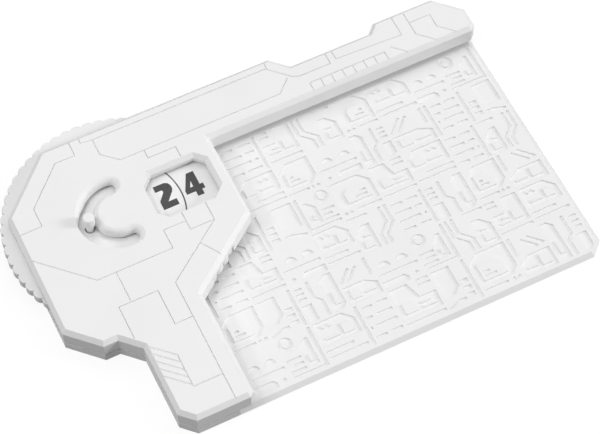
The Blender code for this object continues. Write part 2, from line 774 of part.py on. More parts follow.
def build_ones_click_spring(material):
    """Bowed leaf, curled round a post at each end, its nose at the wheel's bumps."""
    left_post, right_post = spring_post_centres()
    curl = SPRING_POST_RADIUS + FIT_GAP + SPRING_STRIP / 2
    nose_y = -RIM_RADIUS - FIT_GAP - SPRING_STRIP / 2 - SPRING_NOSE_RADIUS
    nose = ((left_post[0] + right_post[0]) / 2, nose_y)
    half_span = (right_post[0] - left_post[0]) / 2
    lift = nose[1] - left_post[1]

    # The straight arms touch the curls and the nose at the same slope
    rise = math.atan2(lift, half_span)
    slope = rise - math.asin((curl - SPRING_NOSE_RADIUS) / math.hypot(half_span, lift))
    left = math.pi / 2 + slope
    right = math.pi / 2 - slope
    path = arc(left_post, curl, left + SPRING_CURL, left, CURL_STEPS)
    path += arc(nose, SPRING_NOSE_RADIUS, left, right, NOSE_STEPS)
    path += arc(right_post, curl, right, right - SPRING_CURL, CURL_STEPS)
    outline = strip_outline(path, SPRING_STRIP)
    spring = prism(outline, WHEEL_UNDERSIDE, SPRING_TOP)
    return add_object("ones_click_spring", spring, material)


def build_tens_brake_spring(material):
    """Flat leaf on two pins under the roof, bowed down to the tens dial."""
    flat = ROOF_UNDERSIDE + BRAKE_POCKET - FIT_GAP - BRAKE_STRIP / 2
    touch = NUMBER_FACE + FIT_GAP + BRAKE_STRIP / 2
    reach = BRAKE_HALF_LENGTH - BRAKE_PIN_INSET * 2
    path = [(-BRAKE_HALF_LENGTH, flat), (-reach, flat)]
    for step in range(1, BRAKE_STEPS):
        along = step / BRAKE_STEPS * 2 - 1
        dip = (1 + math.cos(math.pi * along)) / 2
        path.append((reach * along, flat + (touch - flat) * dip))
    path += [(reach, flat), (BRAKE_HALF_LENGTH, flat)]
    outline = strip_outline(path, BRAKE_STRIP)
    mesh_builder = bmesh.new()
    sides = []
    for offset in (-BRAKE_WIDTH / 2, BRAKE_WIDTH / 2):
        x = -BRAKE_CIRCLE + offset
        sides.append([mesh_builder.verts.new((x, y, z)) for y, z in outline])
    count = len(outline)
    for index in range(count):
        following = (index + 1) % count
        first, second = sides
        mesh_builder.faces.new((first[index], first[following], second[following], second[index]))
    mesh_builder.faces.new(list(reversed(sides[0])))
    mesh_builder.faces.new(sides[1])
    spring = add_object("tens_brake_spring", mesh_builder, material)
    hole = BRAKE_PIN_RADIUS + FIT_GAP
    levels = [(hole, ROOF_UNDERSIDE), (hole, ROOF_UNDERSIDE + BRAKE_POCKET)]
    cut(spring, "brake_pin_holes", posts(brake_pin_centres(), levels, SMALL_FACES))
    return spring


def build_closing_screws(material):
    """Countersunk screws, driven from below into the cover's posts."""
    slope_height = SCREW_HEAD_RADIUS - SCREW_RADIUS
    top = SCREW_HEAD_RECESS + SCREW_LENGTH
    profile = [
        (SCREW_HEAD_RADIUS, SCREW_HEAD_RECESS),
        (SCREW_RADIUS, SCREW_HEAD_RECESS + slope_height),
        (SCREW_RADIUS, top - SCREW_RADIUS),
        (SCREW_TIP_RADIUS, top),
    ]
    for number, centre in enumerate(screw_centres(), start=1):
        screw = turned(profile, SMALL_FACES, centre)
        add_object(f"closing_screw_{number}", screw, material, smooth=True)


def build_part():
    clear_scene()
    white = finish("white_moulded_plastic", (0.86, 0.86, 0.86), 0.55)
    natural = finish("slippery_washer_plastic", (0.72, 0.71, 0.67), 0.4)
    steel = finish("bright_steel", (0.56, 0.57, 0.58), 0.3, metallic=1.0)
    zinc = finish("zinc_plated_steel", (0.6, 0.6, 0.58), 0.35, metallic=1.0)

    build_base_plate(white)
    build_top_cover(white)
    build_ones_dial(white)
    build_tens_dial(white)
    build_tens_peg(white)
    build_axle_pin(steel)
    build_washer("lower_washer", LOWER_WASHER_BASE, natural)
    build_washer("middle_washer", MIDDLE_WASHER_BASE, natural)
    build_ones_click_spring(steel)
    build_tens_brake_spring(steel)
    build_closing_screws(zinc)


build_part()
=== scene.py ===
"""Damage counter pad: the moulded detail and the finish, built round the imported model."""

import math

import bmesh
import bpy
from mathutils import Matrix, Vector


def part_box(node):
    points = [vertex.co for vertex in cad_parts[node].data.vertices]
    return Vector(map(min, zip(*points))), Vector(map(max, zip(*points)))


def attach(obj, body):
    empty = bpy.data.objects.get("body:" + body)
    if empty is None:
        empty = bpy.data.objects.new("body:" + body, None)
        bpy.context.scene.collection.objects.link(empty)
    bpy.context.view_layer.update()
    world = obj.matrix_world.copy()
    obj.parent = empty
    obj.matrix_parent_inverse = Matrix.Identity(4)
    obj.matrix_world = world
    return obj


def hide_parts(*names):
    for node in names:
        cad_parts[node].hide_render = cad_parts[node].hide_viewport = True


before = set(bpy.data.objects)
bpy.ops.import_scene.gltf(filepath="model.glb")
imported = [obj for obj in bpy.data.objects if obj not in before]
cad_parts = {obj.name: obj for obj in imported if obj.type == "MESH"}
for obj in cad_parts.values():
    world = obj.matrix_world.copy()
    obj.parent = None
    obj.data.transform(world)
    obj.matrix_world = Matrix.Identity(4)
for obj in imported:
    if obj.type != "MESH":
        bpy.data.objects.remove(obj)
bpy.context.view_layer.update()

MM = 0.001

# Heights of the faces that carry the detail
PAD_TOP = 1.1 * MM
COVER_TOP = 7.77 * MM
NUMBER_FACE = 4.85 * MM

# Grooves on the cover: panel lines, and the five broader slits on the tower
LINE_WIDTH = 0.3 * MM
LINE_DEPTH = 0.37 * MM
SLIT_WIDTH = 0.5 * MM
SLIT_DEPTH = 0.36 * MM

# Relief on the pad: its flanks and straight sides before they are stretched upright, and
# how far the cutter stands out of the face
RELIEF_FLANK = 0.1 * MM
RELIEF_UPRIGHT = 0.03 * MM
RELIEF_STEEPNESS = 3.5
RELIEF_STANDOUT = 0.02 * MM

# Foot of the groove that marks the card bed in the solid
BED_GROOVE_FOOT = 0.9 * MM
BED_GROOVE_TOLERANCE = 0.02 * MM

# Widths of the relief's channels, in millimetres
CHANNEL = 0.55
NARROW = 0.45

# A face this upright in its normal counts as level
LEVEL = 0.99999

# Points this close are one point, and faces this flat to each other are one face
WELD_DISTANCE = 0.001 * MM
CURVE_WELD_DISTANCE = 0.0005 * MM
MERGE_ANGLE = math.radians(0.4)

# Edges sharper than this, in degrees, stay crisp
COVER_CREASE = 20
PAD_CREASE = 25
TURNED_CREASE = 30

# Wheel for the units: the rim's bumps and the rounding of its two edges
BUMP_COUNT = 60
BUMP_POINTS = 12
BUMP_START = math.radians(-0.9)
BUMP_DEPTH = 0.9 * MM
RIM_ROUNDING = 0.25 * MM
ROUNDING_STEPS = 3

# The wheel's other rings, as radius and height: bore and recess, then the groove below
WHEEL_TIP = 28.35 * MM
WHEEL_UNDERSIDE = 2.3 * MM
WHEEL_WEB_TOP = 3.1 * MM
WHEEL_GROOVE_TOP = 3.65 * MM
WHEEL_BORE_SIDE = [
    (1.8 * MM, WHEEL_UNDERSIDE),
    (1.8 * MM, WHEEL_WEB_TOP),
    (16.45 * MM, WHEEL_WEB_TOP),
    (16.45 * MM, NUMBER_FACE),
]
WHEEL_GROOVE_SIDE = [
    (24.55 * MM, WHEEL_UNDERSIDE),
    (24.55 * MM, WHEEL_GROOVE_TOP),
    (17.55 * MM, WHEEL_GROOVE_TOP),
    (17.55 * MM, WHEEL_UNDERSIDE),
]

# Cross recess in the closing screws
CROSS_REACH = 1.1 * MM
CROSS_WIDTH = 0.45 * MM
CROSS_DEPTH = 0.8 * MM
CROSS_TURNS = (math.radians(20), math.radians(110))

# Printed numerals: degrees from one to the next, and the one that shows in the window
INK_THICKNESS = 0.02 * MM
TENS_NUMERAL_RADIUS = 12.5 * MM
TENS_STEP = 48.0
TENS_SHOWN = 2
ONES_NUMERAL_RADIUS = 19.55 * MM
ONES_STEP = 36.0
ONES_SHOWN = 4
NUMERAL_SHIFT = 0.36 * MM

# Camera, solved from the photograph: angles in degrees, and the point it looks at
SENSOR_WIDTH = 36
LENS = 126.12
CAMERA_TURN = -24.533
CAMERA_RISE = 59.661
CAMERA_ROLL = -1.644
CAMERA_TARGET = (39.87 * MM, -16.69 * MM, 0.0)
CAMERA_DISTANCE = 506.55 * MM

# Strength of the world's light, and how the white sweep is seen
AMBIENT = 0.35
FLOOR_HALF_WIDTH = 3.0
FLOOR_DROP = 0.05 * MM
FLOOR_BOUNCE = (0.05, 0.05, 0.05, 1.0)
FLOOR_GLOW = 0.86
FLOOR_SHADE = (0.18, 0.18, 0.18, 1.0)
WHITE = (1, 1, 1, 1)


def linear(code):
    """Linear colour from an sRGB hex code."""
    channels = []
    for start in (0, 2, 4):
        value = int(code[start : start + 2], 16) / 255
        if value <= 0.04045:
            channels.append(value / 12.92)
        else:
            channels.append(((value + 0.055) / 1.055) ** 2.4)
    return (*channels, 1.0)


def add_node(tree, kind, settings=None, values=None, links=None):
    """One node with its settings, its socket values and the sockets that feed it."""
    node = tree.nodes.new(kind)
    for name, value in (settings or {}).items():
        setattr(node, name, value)
    for name, value in (values or {}).items():
        node.inputs[name].default_value = value
    for name, source in (links or {}).items():
        tree.links.new(source, node.inputs[name])
    return node


def new_material(name):
    """A material, with its node tree, its shader and the place on the object."""
    material = bpy.data.materials.new(name)
    material.use_nodes = True
    tree = material.node_tree
    place = add_node(tree, "ShaderNodeTexCoord").outputs["Object"]
    return material, tree, tree.nodes["Principled BSDF"], place


def two_tone(tree, shader, source, codes, stops=(0.3, 0.7)):
    """Base colour that wanders between two hex colours."""
    ramp = add_node(tree, "ShaderNodeValToRGB", links={"Fac": source})
    for index in range(2):
        ramp.color_ramp.elements[index].position = stops[index]
        ramp.color_ramp.elements[index].color = linear(codes[index])
    tree.links.new(ramp.outputs["Color"], shader.inputs["Base Color"])


def varied_gloss(tree, shader, source, low, high):
    """Roughness that wanders between two values."""
    gloss = add_node(
        tree,
        "ShaderNodeMapRange",
        values={"To Min": low, "To Max": high},
        links={"Value": source},
    )
    tree.links.new(gloss.outputs["Result"], shader.inputs["Roughness"])


def moulded_abs(name, codes, roughness):
    """White ABS, injection moulded: a fine spark-eroded grain and slow changes in gloss."""
    material, tree, shader, place = new_material(name)
    shader.inputs["IOR"].default_value = 1.53

    # Tooling grain of about 0.2 mm, and flow marks some 14 mm across
    grain = add_node(
        tree,
        "ShaderNodeTexNoise",
        values={"Scale": 1 / (0.2 * MM), "Detail": 2.0, "Roughness": 0.6},
        links={"Vector": place},
    )
    flow = add_node(
        tree,
        "ShaderNodeTexNoise",
        values={"Scale": 1 / (14 * MM), "Detail": 3.0, "Roughness": 0.5},
        links={"Vector": place},
    )
    varied_gloss(tree, shader, flow.outputs["Fac"], roughness - 0.05, roughness + 0.05)
    two_tone(tree, shader, flow.outputs["Fac"], codes)

    bump = add_node(
        tree,
        "ShaderNodeBump",
        values={"Strength": 0.12, "Distance": 0.004 * MM},
        links={"Height": grain.outputs["Fac"]},
    )
    tree.links.new(bump.outputs["Normal"], shader.inputs["Normal"])
    return material


def pad_print_ink():
    """Matt dark grey ink, pad printed: slightly mottled, no shine."""
    material, tree, shader, place = new_material("pad_printed_ink")
    shader.inputs["Roughness"].default_value = 0.75
    mottle = add_node(
        tree,
        "ShaderNodeTexNoise",
        values={"Scale": 1 / (0.6 * MM), "Detail": 4.0},
        links={"Vector": place},
    )
    two_tone(tree, shader, mottle.outputs["Fac"], ("424242", "4B4B4B"), (0.35, 0.65))
    return material


def moulded_acetal():
    """Natural acetal washers: waxy, a little darker than the white ABS."""
    material, tree, shader, place = new_material("moulded_acetal")
    shader.inputs["IOR"].default_value = 1.48
    rub = add_node(
        tree,
        "ShaderNodeTexNoise",
        values={"Scale": 1 / (1.2 * MM), "Detail": 3.0},
        links={"Vector": place},
    )
    varied_gloss(tree, shader, rub.outputs["Fac"], 0.25, 0.42)
    two_tone(tree, shader, rub.outputs["Fac"], ("D9D7CE", "E4E2DA"), (0.0, 1.0))
    return material


def drawn_steel(name, codes, stretch, roughness):
    """Bare or plated steel with lines left by drawing or turning, 0.1 mm apart."""
    material, tree, shader, place = new_material(name)
    shader.inputs["Metallic"].default_value = 1.0
    along = add_node(
        tree,
        "ShaderNodeMapping",
        values={"Scale": stretch},
        links={"Vector": place},
    )
    lines = add_node(
        tree,
        "ShaderNodeTexNoise",
        values={"Scale": 1 / (0.1 * MM), "Detail": 2.0},
        links={"Vector": along.outputs["Vector"]},
    )
    two_tone(tree, shader, lines.outputs["Fac"], codes)
    varied_gloss(tree, shader, lines.outputs["Fac"], roughness - 0.06, roughness + 0.1)
    return material


# Mesh helpers


def merged_copy(node):
    """A CAD node's mesh with its loose triangles merged into whole faces."""
    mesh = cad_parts[node].data.copy()
    if "custom_normal" in mesh.attributes:
        mesh.attributes.remove(mesh.attributes["custom_normal"])
    shape = bmesh.new()
    shape.from_mesh(mesh)
    bpy.data.meshes.remove(mesh)
    bmesh.ops.remove_doubles(shape, verts=shape.verts, dist=WELD_DISTANCE)
    bmesh.ops.dissolve_limit(
        shape, angle_limit=MERGE_ANGLE, verts=shape.verts, edges=shape.edges
    )
    return shape


def round_off(mesh, smooth_angle):
    """Smooth shading over curves: flat level faces and edges above an angle stay crisp."""
    mesh.shade_smooth()
    mesh.set_sharp_from_angle(angle=math.radians(smooth_angle))
    shape = bmesh.new()
    shape.from_mesh(mesh)
    for edge in shape.edges:
        if any(abs(face.normal.z) > LEVEL for face in edge.link_faces):
            edge.smooth = False
    shape.to_mesh(mesh)
    shape.free()


def piece(name, shape, material, body=None, smooth_angle=None):
    """A finished piece at the origin, with its place in its mesh."""
    mesh = bpy.data.meshes.new(name)
    shape.to_mesh(mesh)
    shape.free()
    mesh.materials.clear()
    mesh.materials.append(material)
    item = bpy.data.objects.new(name, mesh)
    bpy.context.collection.objects.link(item)
    if smooth_angle:
        round_off(mesh, smooth_angle)
    if body:
        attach(item, body)
    return item


def curve_shape(name, outlines, closed, place, **settings):
    """A curve of straight runs, made a mesh and put in its place."""
    curve = bpy.data.curves.new(name, "CURVE")
    for setting, value in settings.items():
        setattr(curve, setting, value)
    for outline in outlines:
        run = curve.splines.new("POLY")
        run.points.add(len(outline) - 1)
        for point, (x, y) in zip(run.points, outline):
            point.co = (x, y, 0.0, 1.0)
        run.use_cyclic_u = closed
    item = bpy.data.objects.new(name, curve)
    bpy.context.collection.objects.link(item)
    ready = item.evaluated_get(bpy.context.evaluated_depsgraph_get())
    mesh = bpy.data.meshes.new_from_object(ready)
    bpy.data.objects.remove(item, do_unlink=True)
    shape = bmesh.new()
    shape.from_mesh(mesh)
    bpy.data.meshes.remove(mesh)
    bmesh.ops.remove_doubles(shape, verts=shape.verts, dist=CURVE_WELD_DISTANCE)
    bmesh.ops.recalc_face_normals(shape, faces=shape.faces)
    bmesh.ops.transform(shape, matrix=place, verts=shape.verts)
    return shape


def cut_away(item, shape, self_crossing=False):
    """Cut a shape out of a piece and keep the result as its mesh."""
    mesh = bpy.data.meshes.new("cutter")
    shape.to_mesh(mesh)
    shape.free()
    cutter = bpy.data.objects.new("cutter", mesh)
    bpy.context.collection.objects.link(cutter)
    cut = item.modifiers.new("cut", "BOOLEAN")
    cut.operation = "DIFFERENCE"
    cut.solver = "EXACT"
    cut.use_self = self_crossing
    cut.object = cutter
    ready = item.evaluated_get(bpy.context.evaluated_depsgraph_get())
    result = bpy.data.meshes.new_from_object(ready)
    item.modifiers.clear()
    old = item.data
    item.data = result
    bpy.data.meshes.remove(old)
    bpy.data.objects.remove(cutter, do_unlink=True)
    bpy.data.meshes.remove(mesh)


def in_mm(points):
    """Points that are given in millimetres, in metres."""
    return [(x * MM, y * MM) for x, y in points]


# Panel lines on top of the cover, in millimetres from the dials' axle

COVER_LINES = [
    # Corner panel at the back left, and the strip along the back
    [(-3.15, 23.3), (-3.15, 18.85), (-8.4, 18.85), (-17.8, 9.3), (-17.8, 4.0), (-24.0, 4.0)],
    [(-0.6, 23.3), (-0.6, 21.4), (2.4, 21.1), (48.9, 21.1)],
    # Name field, left bare, and the fold beside it
    [(2.4, 21.1), (2.4, 16.4), (6.2, 12.8), (48.9, 12.8), (52.5, 16.2)],
    [(49.2, 23.3), (49.2, 20.7), (53.9, 16.0), (55.6, 15.4), (64.0, 15.4), (64.0, 19.2)],
    # Middle of the housing, round the window
    [(-24.0, -3.1), (-11.8, -15.1), (7.6, -15.1), (7.6, -9.7), (13.4, -9.7), (13.4, -7.2)],
    [(13.4, -9.7), (13.4, -12.3), (19.6, -12.3), (19.6, -7.2)],
    [(12.4, 12.8), (12.4, 10.3), (19.7, 10.3), (19.7, 7.2)],
    # Shoulder and tower
    [(19.6, -12.3), (4.35, -23.7), (4.35, -57.4)],
    [(13.95, -16.6), (17.1, -21.6)],
    [(-6.95, -15.1), (-6.95, -23.9)],
    [(-10.1, -32.9), (-10.1, -23.9), (-0.2, -23.9), (-0.2, -33.6), (4.35, -33.6)],
    [(-3.0, -50.0), (4.35, -50.0)],
    [(-3.0, -41.2), (-3.0, -50.0)],
    # Rail
    [(65.8, 19.2), (65.8, 16.0), (83.7, 15.2), (83.7, 21.6)],
    [(87.0, 21.6), (87.0, 13.8), (90.9, 9.9)],
    [(87.0, 17.6), (92.8, 17.6), (92.8, 13.6), (96.5, 9.9)],
    [(79.5, 13.2), (82.8, 9.9)],
    [(56.9, 12.5), (77.5, 12.5)],
]
TOWER_SLITS = [
    [(-8.6, -35.9), (-3.0, -41.2)],
    [(-8.6, -38.0), (-3.0, -43.3)],
    [(-8.6, -40.1), (-3.0, -45.4)],
    [(-8.6, -42.2), (-3.0, -47.5)],
    [(-8.6, -44.3), (-3.0, -49.6)],
]
RUNG_PLACES = [56.9, 59.8, 62.7, 65.7, 68.6, 71.6, 74.5, 77.5]
RUNG_BACK = 12.5
RUNG_FRONT = 10.1


def cut_lines(item, lines, width, depth):
    """V grooves along lines on top of the cover."""
    # Four-sided tubes, stretched upright: their lower corner is the groove's foot
    steepness = 2 * depth / width
    place = Matrix.Translation((0.0, 0.0, COVER_TOP + width * steepness - depth))
    tubes = curve_shape(
        "panel_lines",
        [in_mm(line) for line in lines],
        False,
        place @ Matrix.Diagonal((1.0, 1.0, steepness, 1.0)),
        dimensions="3D",
        bevel_depth=width,
        bevel_resolution=0,
        use_fill_caps=True,
        twist_mode="Z_UP",
    )
    cut_away(item, tubes, self_crossing=True)


def build_cover(material):
    """The cover with its V-cut panel lines."""
    item = piece("moulded_cover", merged_copy("top_cover"), material, "housing")
    rungs = [[(x, RUNG_BACK), (x, RUNG_FRONT)] for x in RUNG_PLACES]
    cut_lines(item, COVER_LINES + rungs, LINE_WIDTH, LINE_DEPTH)
    cut_lines(item, TOWER_SLITS, SLIT_WIDTH, SLIT_DEPTH)
    round_off(item.data, COVER_CREASE)
    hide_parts("top_cover")


# Relief on the pad: motifs drawn in cells, an outline inside an outline is an island


def box_outline(left, front, right, back, cuts=(0.0, 0.0, 0.0, 0.0)):
    """A rectangle with its corners cut at 45 degrees, from the front left corner round."""
    points = []
    corners = [(left, front), (right, front), (right, back), (left, back)]
    before = [(0, 1), (-1, 0), (0, -1), (1, 0)]
    after = [(1, 0), (0, 1), (-1, 0), (0, -1)]
    for (x, y), cut, first, second in zip(corners, cuts, before, after):
        if cut:
            points.append((x + first[0] * cut, y + first[1] * cut))
            points.append((x + second[0] * cut, y + second[1] * cut))
        else:
            points.append((x, y))
    return points


def dot_outline(x, y, radius, points=10):
    """A round stud or ring."""
    around = [math.tau * step / points for step in range(points)]
    return [(x + radius * math.cos(angle), y + radius * math.sin(angle)) for angle in around]


def arch_outline(x, y, radius):
    """A half round on a straight foot."""
    around = [math.pi * step / 8 for step in range(9)]
    return [(x + radius * math.cos(angle), y + radius * math.sin(angle)) for angle in around]


def channel(path, width=CHANNEL):
    """Outline of a channel that follows a bent path."""
    left = []
    right = []
    for index, (x, y) in enumerate(path):
        before = path[index - 1] if index else None
        after = path[index + 1] if index + 1 < len(path) else None
        first = Vector((x - before[0], y - before[1])).normalized() if before else None
        second = Vector((after[0] - x, after[1] - y)).normalized() if after else None
        along = (first or second) + (second or first)
        along.normalize()
        spread = along.dot(first or second)
        across = Vector((-along.y, along.x)) * (width / 2 / spread)
        left.append((x + across.x, y + across.y))
        right.append((x - across.x, y - across.y))
    return right + left[::-1]


def clipped_field(w, h):
    """Large clipped field with a plate in it, a bar and two studs beside it."""
    return [
        box_outline(0, h * 0.2, w, h, (0, 1.8, 0, 2.4)),
        box_outline(1.2, h * 0.2 + 1.1, w - 2.6, h - 2.6, (0, 0, 1.2, 0)),
        channel([(0, h * 0.08), (w * 0.62, h * 0.08)]),
        dot_outline(w - 2.2, h * 0.08, 0.4),
        dot_outline(w - 0.8, h * 0.08, 0.4),
        channel([(2.2, h * 0.2 + 2.2), (w * 0.5, h * 0.2 + 2.2)], NARROW),
        channel([(2.2, h * 0.2 + 3.4), (w * 0.36, h * 0.2 + 3.4)], NARROW),
    ]


def bent_channels(w, h):
    """Two channels that bend side by side, past a plain plate."""
    bend = w * 0.26
    return [
        channel([(0.3, h), (0.3, h * 0.5), (0.3 + bend, h * 0.5 - bend), (0.3 + bend, 0)]),
        channel([(1.8, h), (1.8, h * 0.56), (1.8 + bend, h * 0.56 - bend), (1.8 + bend, 0)]),
        box_outline(w * 0.58, 0, w, h * 0.72, (0, 0, 2.2, 0)),
        box_outline(w * 0.58 + 0.9, 0.9, w - 0.9, h * 0.3),
        channel([(w * 0.58 + 0.9, h * 0.42), (w - 1.8, h * 0.42)], NARROW),
        channel([(w * 0.5, h - 0.3), (w, h - 0.3)], 0.5),
    ]


def dash_rows(w, h):
    """Dashes of three lengths, and one long channel down their side."""
    shapes = [channel([(w - 0.3, 0), (w - 0.3, h)])]
    count = 4
    for index in range(count):
        y = (index + 0.5) * h / count
        reach = w * (0.36, 0.66, 0.5)[index % 3]
        shapes.append(channel([(0.2, y), (reach, y)]))
        shapes.append(channel([(reach + 1.2, y), (w - 1.5, y)], NARROW))
    return shapes


def arch_row(w, h):
    """Two arches over a long slot, with a dot beyond it."""
    radius = min(w / 7, h / 7)
    shapes = [arch_outline(w * share, h * 0.56, radius) for share in (0.24, 0.7)]
    shapes.append(channel([(0.2, h * 0.36), (w - 0.2, h * 0.36)]))
    shapes.append(box_outline(0, 0, w * 0.62, h * 0.18, (0, 0, 0.8, 0)))
    shapes.append(dot_outline(w * 0.84, h * 0.1, 0.4))
    return shapes


def hub_and_plate(w, h):
    """Ring with a hub in one corner, an L-shaped channel round the other."""
    radius = min(w, h) * 0.2
    return [
        dot_outline(w - radius, h - radius, radius, 20),
        dot_outline(w - radius, h - radius, radius * 0.6, 16),
        channel([(0.3, h), (0.3, 0.3), (w, 0.3)]),
        box_outline(1.7, 1.7, w * 0.5, h * 0.8, (0, 0, 1.8, 0)),
        box_outline(2.5, 2.5, w * 0.5 - 0.8, h * 0.42),
        channel([(w * 0.58, h * 0.16), (w, h * 0.16)], NARROW),
        channel([(w * 0.58, h * 0.3), (w * 0.86, h * 0.3)], NARROW),
        channel([(w * 0.58, h * 0.44), (w, h * 0.44)], NARROW),
    ]


def slanted_strokes(w, h):
    """Two slanted strokes beside a large pocket with one slanted side."""
    rise = min(w, h) * 0.36
    return [
        channel([(0.4, h * 0.6), (0.4 + rise, h * 0.6 + rise)]),
        channel([(2.2, h * 0.6 - 0.2), (2.2 + rise, h * 0.6 + rise - 0.2)]),
        [(0.0, 0.0), (w, 0.0), (w, h * 0.3), (w * 0.66, h * 0.46), (0.0, h * 0.46)],
        box_outline(1.0, 1.0, w * 0.42, h * 0.46 - 1.0),
        channel([(w * 0.54, h * 0.16), (w - 1.0, h * 0.16)], NARROW),
        channel([(w - 0.4, h * 0.54), (w - 0.4, h)]),
    ]


def step_field(w, h):
    """Step-shaped field over a long channel."""
    return [
        [(0, h * 0.22), (w, h * 0.22), (w, h * 0.6), (w * 0.6, h * 0.6), (w * 0.46, h), (0, h)],
        box_outline(1.1, h * 0.22 + 1.1, w * 0.42, h * 0.6),
        channel([(w * 0.54, h * 0.34), (w - 1.0, h * 0.34)], NARROW),
        channel([(w * 0.54, h * 0.46), (w - 2.0, h * 0.46)], NARROW),
        channel([(w * 0.7, h - 0.3), (w, h - 0.3)]),
        channel([(w * 0.7, h - 1.6), (w, h - 1.6)], NARROW),
        channel([(0, h * 0.08), (w, h * 0.08)]),
    ]


def tall_pockets(w, h):
    """A tall pocket, a stepped channel and a low box."""
    middle = w * 0.48
    return [
        box_outline(0, 0, w * 0.32, h, (1.2, 0, 1.2, 0)),
        channel([(middle, 0), (middle, h * 0.4), (middle + 1.4, h * 0.4 + 1.4), (middle + 1.4, h)]),
        box_outline(0.9, h * 0.16, w * 0.32 - 0.9, h * 0.5),
        box_outline(w * 0.76, 0, w, h * 0.44, (0, 0.8, 0, 0)),
        channel([(w * 0.8, h * 0.62), (w, h * 0.62)], NARROW),
        channel([(w * 0.8, h * 0.76), (w, h * 0.76)], NARROW),
        channel([(w * 0.8, h * 0.9), (w, h * 0.9)], NARROW),
    ]


def long_rails(w, h):
    """Two long channels under a wide plate."""
    return [
        channel([(0.0, h * 0.1), (w, h * 0.1)]),
        channel([(0.0, h * 0.26), (w * 0.7, h * 0.26)]),
        box_outline(0.0, h * 0.42, w, h, (0, 0, 2.4, 0)),
        channel([(1.4, h * 0.42 + 1.6), (w * 0.5, h * 0.42 + 1.6)]),
        box_outline(w * 0.6, h * 0.42 + 1.1, w - 1.1, h * 0.78),
        dot_outline(2.0, h - 1.5, 0.45),
        dot_outline(3.6, h - 1.5, 0.45),
    ]


def side_teeth(w, h):
    """Comb of three short teeth along a channel, and a clipped plate."""
    shapes = [channel([(0.3, 0), (0.3, h)])]
    for share in (0.16, 0.34, 0.52):
        shapes.append(box_outline(1.4, h * share - 0.45, 3.3, h * share + 0.45))
    shapes.append(box_outline(w * 0.46, h * 0.3, w, h, (1.8, 0, 0, 0)))
    shapes.append(channel([(w * 0.46, h * 0.12), (w * 0.46 + 1.8, h * 0.12), (w, h * 0.02)]))
    return shapes


MOTIFS = {
    "a": clipped_field,
    "b": bent_channels,
    "c": dash_rows,
    "d": arch_row,
    "e": hub_and_plate,
    "f": slanted_strokes,
    "g": step_field,
    "h": tall_pockets,
    "i": long_rails,
    "j": side_teeth,
}

# Cells of the relief: column and row lines in millimetres, and a motif for each cell.
# A capital letter mirrors its motif from left to right.
COLUMN_LINES = [9.6, 19.4, 28.9, 39.6, 48.8, 59.9, 69.4, 80.3, 89.5, 99.5]
ROW_LINES = [8.8, -1.9, -12.2, -22.8, -33.6, -44.5, -56.2]
CELL_ROWS = [
    "  cGbAidE",
    "  IaDhfCj",
    "FbjeAgIcB",
    "CgDiBcHaF",
    "aJHfdEbGi",
    "dEiCgJaFh",
]
CELL_GAP = 0.42


def relief_outlines():
    """Every outline of the relief, each motif fitted into its cell."""
    outlines = []
    for row, letters in enumerate(CELL_ROWS):
        back, front = ROW_LINES[row], ROW_LINES[row + 1]
        for column, letter in enumerate(letters):
            if letter == " ":
                continue
            left, right = COLUMN_LINES[column], COLUMN_LINES[column + 1]
            w = right - left - 2 * CELL_GAP
            h = back - front - 2 * CELL_GAP
            for outline in MOTIFS[letter.lower()](w, h):
                if letter.isupper():
                    outline = [(w - x, y) for x, y in reversed(outline)]
                outlines.append([(left + CELL_GAP + x, front + CELL_GAP + y) for x, y in outline])
    return outlines


def build_pad(material):
    """The base with the relief pressed into the card pad."""
    shape = merged_copy("base_plate")

    # The thin groove that marks the bed in the solid is filled: the relief takes its place
    for vertex in shape.verts:
        if abs(vertex.co.z - BED_GROOVE_FOOT) < BED_GROOVE_TOLERANCE:
            vertex.co.z = PAD_TOP
    bmesh.ops.dissolve_limit(
        shape, angle_limit=MERGE_ANGLE, verts=shape.verts, edges=shape.edges
    )
    item = piece("relief_pad_base", shape, material, "housing")
    lift = PAD_TOP + RELIEF_UPRIGHT * RELIEF_STEEPNESS - RELIEF_STANDOUT
    place = Matrix.Translation((0.0, 0.0, lift))
    relief = curve_shape(
        "relief",
        [in_mm(outline) for outline in relief_outlines()],
        True,
        place @ Matrix.Diagonal((1.0, 1.0, RELIEF_STEEPNESS, 1.0)),
        dimensions="2D",
        fill_mode="BOTH",
        extrude=RELIEF_UPRIGHT,
        bevel_depth=RELIEF_FLANK,
        bevel_resolution=0,
    )
    cut_away(item, relief)
    round_off(item.data, PAD_CREASE)
    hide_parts("base_plate")


# The units wheel, drawn finer than in the solid, and the closing screws


def bumped(tip):
    """The wheel's rim from above: round bumps with sharp valleys between them."""
    points = []
    for bump in range(BUMP_COUNT):
        for step in range(BUMP_POINTS):
            swing = math.sin((step / BUMP_POINTS * 2 - 1) * math.pi / 2)
            radius = tip - BUMP_DEPTH + BUMP_DEPTH * math.sqrt(1 - swing * swing)
            angle = BUMP_START + math.tau / BUMP_COUNT * (bump + swing / 2)
            points.append((radius * math.cos(angle), radius * math.sin(angle)))
    return points


def plain(radius):
    """A circle with as many points as the bumped rim."""
    return [
        (radius * x / math.hypot(x, y), radius * y / math.hypot(x, y)) for x, y in bumped(WHEEL_TIP)
    ]


